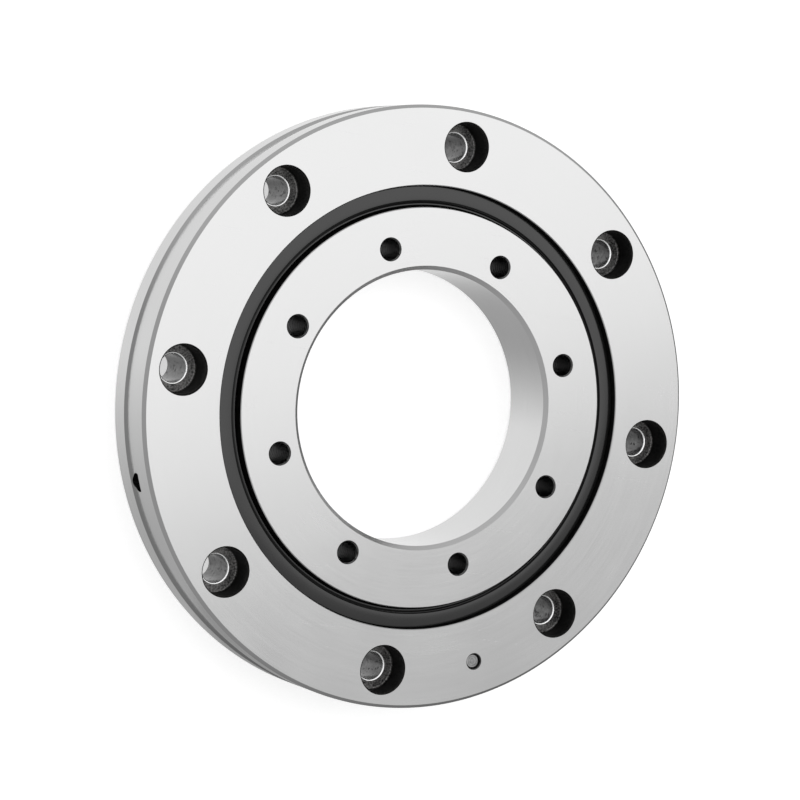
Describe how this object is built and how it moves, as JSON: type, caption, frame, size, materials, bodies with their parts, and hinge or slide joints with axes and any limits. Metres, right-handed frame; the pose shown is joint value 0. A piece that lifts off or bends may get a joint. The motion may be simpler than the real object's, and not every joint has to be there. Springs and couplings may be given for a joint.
{
  "type": "crossed roller bearing",
  "caption": "Thin crossed roller bearing with a wide bore, counterbored bolt holes in the outer ring, tapped holes in the inner ring, rubber seals and an oil groove round the rim.",
  "frame": {"origin": "centre of the rear face, on the spin axis", "axes": "+Z along the spin axis to the front face with the counterbores, +X through the first bolt hole of the outer ring"},
  "size_m": [0.12, 0.12, 0.015],
  "materials": {
    "ring_steel": "ground bearing steel, satin",
    "pin_steel": "cut steel pin end, dull",
    "roller_steel": "lapped bearing steel, bright",
    "seal_rubber": "moulded nitrile rubber, matt",
    "spacer_plastic": "moulded acetal, natural"
  },
  "bodies": {
    "outer_ring": {"outer_ring": "ring_steel", "front_seal": "seal_rubber", "rear_seal": "seal_rubber", "filler_plug": "ring_steel", "plug_pin": "pin_steel"},
    "inner_ring": {"inner_ring": "ring_steel"},
    "roller_train": {"spacer_01": "spacer_plastic", "spacer_02": "spacer_plastic", "spacer_03": "spacer_plastic", "spacer_04": "spacer_plastic", "spacer_05": "spacer_plastic", "spacer_06": "spacer_plastic", "spacer_07": "spacer_plastic", "spacer_08": "spacer_plastic", "spacer_09": "spacer_plastic", "spacer_10": "spacer_plastic", "spacer_11": "spacer_plastic", "spacer_12": "spacer_plastic", "spacer_13": "spacer_plastic", "spacer_14": "spacer_plastic", "spacer_15": "spacer_plastic", "spacer_16": "spacer_plastic", "spacer_17": "spacer_plastic", "spacer_18": "spacer_plastic", "spacer_19": "spacer_plastic", "spacer_20": "spacer_plastic", "spacer_21": "spacer_plastic", "spacer_22": "spacer_plastic", "spacer_23": "spacer_plastic", "spacer_24": "spacer_plastic", "spacer_25": "spacer_plastic", "spacer_26": "spacer_plastic"},
    "roller_01": {"roller_01": "roller_steel"},
    "roller_02": {"roller_02": "roller_steel"},
    "roller_03": {"roller_03": "roller_steel"},
    "roller_04": {"roller_04": "roller_steel"},
    "roller_05": {"roller_05": "roller_steel"},
    "roller_06": {"roller_06": "roller_steel"},
    "roller_07": {"roller_07": "roller_steel"},
    "roller_08": {"roller_08": "roller_steel"},
    "roller_09": {"roller_09": "roller_steel"},
    "roller_10": {"roller_10": "roller_steel"},
    "roller_11": {"roller_11": "roller_steel"},
    "roller_12": {"roller_12": "roller_steel"},
    "roller_13": {"roller_13": "roller_steel"},
    "roller_14": {"roller_14": "roller_steel"},
    "roller_15": {"roller_15": "roller_steel"},
    "roller_16": {"roller_16": "roller_steel"},
    "roller_17": {"roller_17": "roller_steel"},
    "roller_18": {"roller_18": "roller_steel"},
    "roller_19": {"roller_19": "roller_steel"},
    "roller_20": {"roller_20": "roller_steel"},
    "roller_21": {"roller_21": "roller_steel"},
    "roller_22": {"roller_22": "roller_steel"},
    "roller_23": {"roller_23": "roller_steel"},
    "roller_24": {"roller_24": "roller_steel"},
    "roller_25": {"roller_25": "roller_steel"},
    "roller_26": {"roller_26": "roller_steel"}
  },
  "joints": [
    {"name": "ring_spin", "type": "hinge", "parent": "outer_ring", "child": "inner_ring", "pos_m": [0, 0, 0.0075], "axis": [0, 0, 1], "continuous": true},
    {"name": "train_orbit", "type": "hinge", "parent": "outer_ring", "child": "roller_train", "pos_m": [0, 0, 0.0075], "axis": [0, 0, 1], "continuous": true},
    {"name": "roller_01_spin", "type": "hinge", "parent": "roller_train", "child": "roller_01", "pos_m": [0.0425, 0, 0.0075], "axis": [0.7071, 0, 0.7071], "continuous": true},
    {"name": "roller_02_spin", "type": "hinge", "parent": "roller_train", "child": "roller_02", "pos_m": [0.04127, 0.01017, 0.0075], "axis": [0.6866, 0.1692, -0.7071], "continuous": true},
    {"name": "roller_03_spin", "type": "hinge", "parent": "roller_train", "child": "roller_03", "pos_m": [0.03763, 0.01975, 0.0075], "axis": [0.6261, 0.3286, 0.7071], "continuous": true},
    {"name": "roller_04_spin", "type": "hinge", "parent": "roller_train", "child": "roller_04", "pos_m": [0.03181, 0.02818, 0.0075], "axis": [0.5293, 0.4689, -0.7071], "continuous": true},
    {"name": "roller_05_spin", "type": "hinge", "parent": "roller_train", "child": "roller_05", "pos_m": [0.02414, 0.03498, 0.0075], "axis": [0.4017, 0.5819, 0.7071], "continuous": true},
    {"name": "roller_06_spin", "type": "hinge", "parent": "roller_train", "child": "roller_06", "pos_m": [0.01507, 0.03974, 0.0075], "axis": [0.2507, 0.6612, -0.7071], "continuous": true},
    {"name": "roller_07_spin", "type": "hinge", "parent": "roller_train", "child": "roller_07", "pos_m": [0.00512, 0.04219, 0.0075], "axis": [0.0852, 0.702, 0.7071], "continuous": true},
    {"name": "roller_08_spin", "type": "hinge", "parent": "roller_train", "child": "roller_08", "pos_m": [-0.00512, 0.04219, 0.0075], "axis": [-0.0852, 0.702, -0.7071], "continuous": true},
    {"name": "roller_09_spin", "type": "hinge", "parent": "roller_train", "child": "roller_09", "pos_m": [-0.01507, 0.03974, 0.0075], "axis": [-0.2507, 0.6612, 0.7071], "continuous": true},
    {"name": "roller_10_spin", "type": "hinge", "parent": "roller_train", "child": "roller_10", "pos_m": [-0.02414, 0.03498, 0.0075], "axis": [-0.4017, 0.5819, -0.7071], "continuous": true},
    {"name": "roller_11_spin", "type": "hinge", "parent": "roller_train", "child": "roller_11", "pos_m": [-0.03181, 0.02818, 0.0075], "axis": [-0.5293, 0.4689, 0.7071], "continuous": true},
    {"name": "roller_12_spin", "type": "hinge", "parent": "roller_train", "child": "roller_12", "pos_m": [-0.03763, 0.01975, 0.0075], "axis": [-0.6261, 0.3286, -0.7071], "continuous": true},
    {"name": "roller_13_spin", "type": "hinge", "parent": "roller_train", "child": "roller_13", "pos_m": [-0.04127, 0.01017, 0.0075], "axis": [-0.6866, 0.1692, 0.7071], "continuous": true},
    {"name": "roller_14_spin", "type": "hinge", "parent": "roller_train", "child": "roller_14", "pos_m": [-0.0425, 0, 0.0075], "axis": [-0.7071, 0, -0.7071], "continuous": true},
    {"name": "roller_15_spin", "type": "hinge", "parent": "roller_train", "child": "roller_15", "pos_m": [-0.04127, -0.01017, 0.0075], "axis": [-0.6866, -0.1692, 0.7071], "continuous": true},
    {"name": "roller_16_spin", "type": "hinge", "parent": "roller_train", "child": "roller_16", "pos_m": [-0.03763, -0.01975, 0.0075], "axis": [-0.6261, -0.3286, -0.7071], "continuous": true},
    {"name": "roller_17_spin", "type": "hinge", "parent": "roller_train", "child": "roller_17", "pos_m": [-0.03181, -0.02818, 0.0075], "axis": [-0.5293, -0.4689, 0.7071], "continuous": true},
    {"name": "roller_18_spin", "type": "hinge", "parent": "roller_train", "child": "roller_18", "pos_m": [-0.02414, -0.03498, 0.0075], "axis": [-0.4017, -0.5819, -0.7071], "continuous": true},
    {"name": "roller_19_spin", "type": "hinge", "parent": "roller_train", "child": "roller_19", "pos_m": [-0.01507, -0.03974, 0.0075], "axis": [-0.2507, -0.6612, 0.7071], "continuous": true},
    {"name": "roller_20_spin", "type": "hinge", "parent": "roller_train", "child": "roller_20", "pos_m": [-0.00512, -0.04219, 0.0075], "axis": [-0.0852, -0.702, -0.7071], "continuous": true},
    {"name": "roller_21_spin", "type": "hinge", "parent": "roller_train", "child": "roller_21", "pos_m": [0.00512, -0.04219, 0.0075], "axis": [0.0852, -0.702, 0.7071], "continuous": true},
    {"name": "roller_22_spin", "type": "hinge", "parent": "roller_train", "child": "roller_22", "pos_m": [0.01507, -0.03974, 0.0075], "axis": [0.2507, -0.6612, -0.7071], "continuous": true},
    {"name": "roller_23_spin", "type": "hinge", "parent": "roller_train", "child": "roller_23", "pos_m": [0.02414, -0.03498, 0.0075], "axis": [0.4017, -0.5819, 0.7071], "continuous": true},
    {"name": "roller_24_spin", "type": "hinge", "parent": "roller_train", "child": "roller_24", "pos_m": [0.03181, -0.02818, 0.0075], "axis": [0.5293, -0.4689, -0.7071], "continuous": true},
    {"name": "roller_25_spin", "type": "hinge", "parent": "roller_train", "child": "roller_25", "pos_m": [0.03763, -0.01975, 0.0075], "axis": [0.6261, -0.3286, 0.7071], "continuous": true},
    {"name": "roller_26_spin", "type": "hinge", "parent": "roller_train", "child": "roller_26", "pos_m": [0.04127, -0.01017, 0.0075], "axis": [0.6866, -0.1692, -0.7071], "continuous": true}
  ],
  "couplings": [
    {"joint": "train_orbit", "follows": "ring_spin", "ratio": 0.47088},
    {"joint": "roller_01_spin", "follows": "ring_spin", "ratio": -6.0508},
    {"joint": "roller_02_spin", "follows": "ring_spin", "ratio": 6.0508},
    {"joint": "roller_03_spin", "follows": "ring_spin", "ratio": -6.0508},
    {"joint": "roller_04_spin", "follows": "ring_spin", "ratio": 6.0508},
    {"joint": "roller_05_spin", "follows": "ring_spin", "ratio": -6.0508},
    {"joint": "roller_06_spin", "follows": "ring_spin", "ratio": 6.0508},
    {"joint": "roller_07_spin", "follows": "ring_spin", "ratio": -6.0508},
    {"joint": "roller_08_spin", "follows": "ring_spin", "ratio": 6.0508},
    {"joint": "roller_09_spin", "follows": "ring_spin", "ratio": -6.0508},
    {"joint": "roller_10_spin", "follows": "ring_spin", "ratio": 6.0508},
    {"joint": "roller_11_spin", "follows": "ring_spin", "ratio": -6.0508},
    {"joint": "roller_12_spin", "follows": "ring_spin", "ratio": 6.0508},
    {"joint": "roller_13_spin", "follows": "ring_spin", "ratio": -6.0508},
    {"joint": "roller_14_spin", "follows": "ring_spin", "ratio": 6.0508},
    {"joint": "roller_15_spin", "follows": "ring_spin", "ratio": -6.0508},
    {"joint": "roller_16_spin", "follows": "ring_spin", "ratio": 6.0508},
    {"joint": "roller_17_spin", "follows": "ring_spin", "ratio": -6.0508},
    {"joint": "roller_18_spin", "follows": "ring_spin", "ratio": 6.0508},
    {"joint": "roller_19_spin", "follows": "ring_spin", "ratio": -6.0508},
    {"joint": "roller_20_spin", "follows": "ring_spin", "ratio": 6.0508},
    {"joint": "roller_21_spin", "follows": "ring_spin", "ratio": -6.0508},
    {"joint": "roller_22_spin", "follows": "ring_spin", "ratio": 6.0508},
    {"joint": "roller_23_spin", "follows": "ring_spin", "ratio": -6.0508},
    {"joint": "roller_24_spin", "follows": "ring_spin", "ratio": 6.0508},
    {"joint": "roller_25_spin", "follows": "ring_spin", "ratio": -6.0508},
    {"joint": "roller_26_spin", "follows": "ring_spin", "ratio": 6.0508}
  ]
}
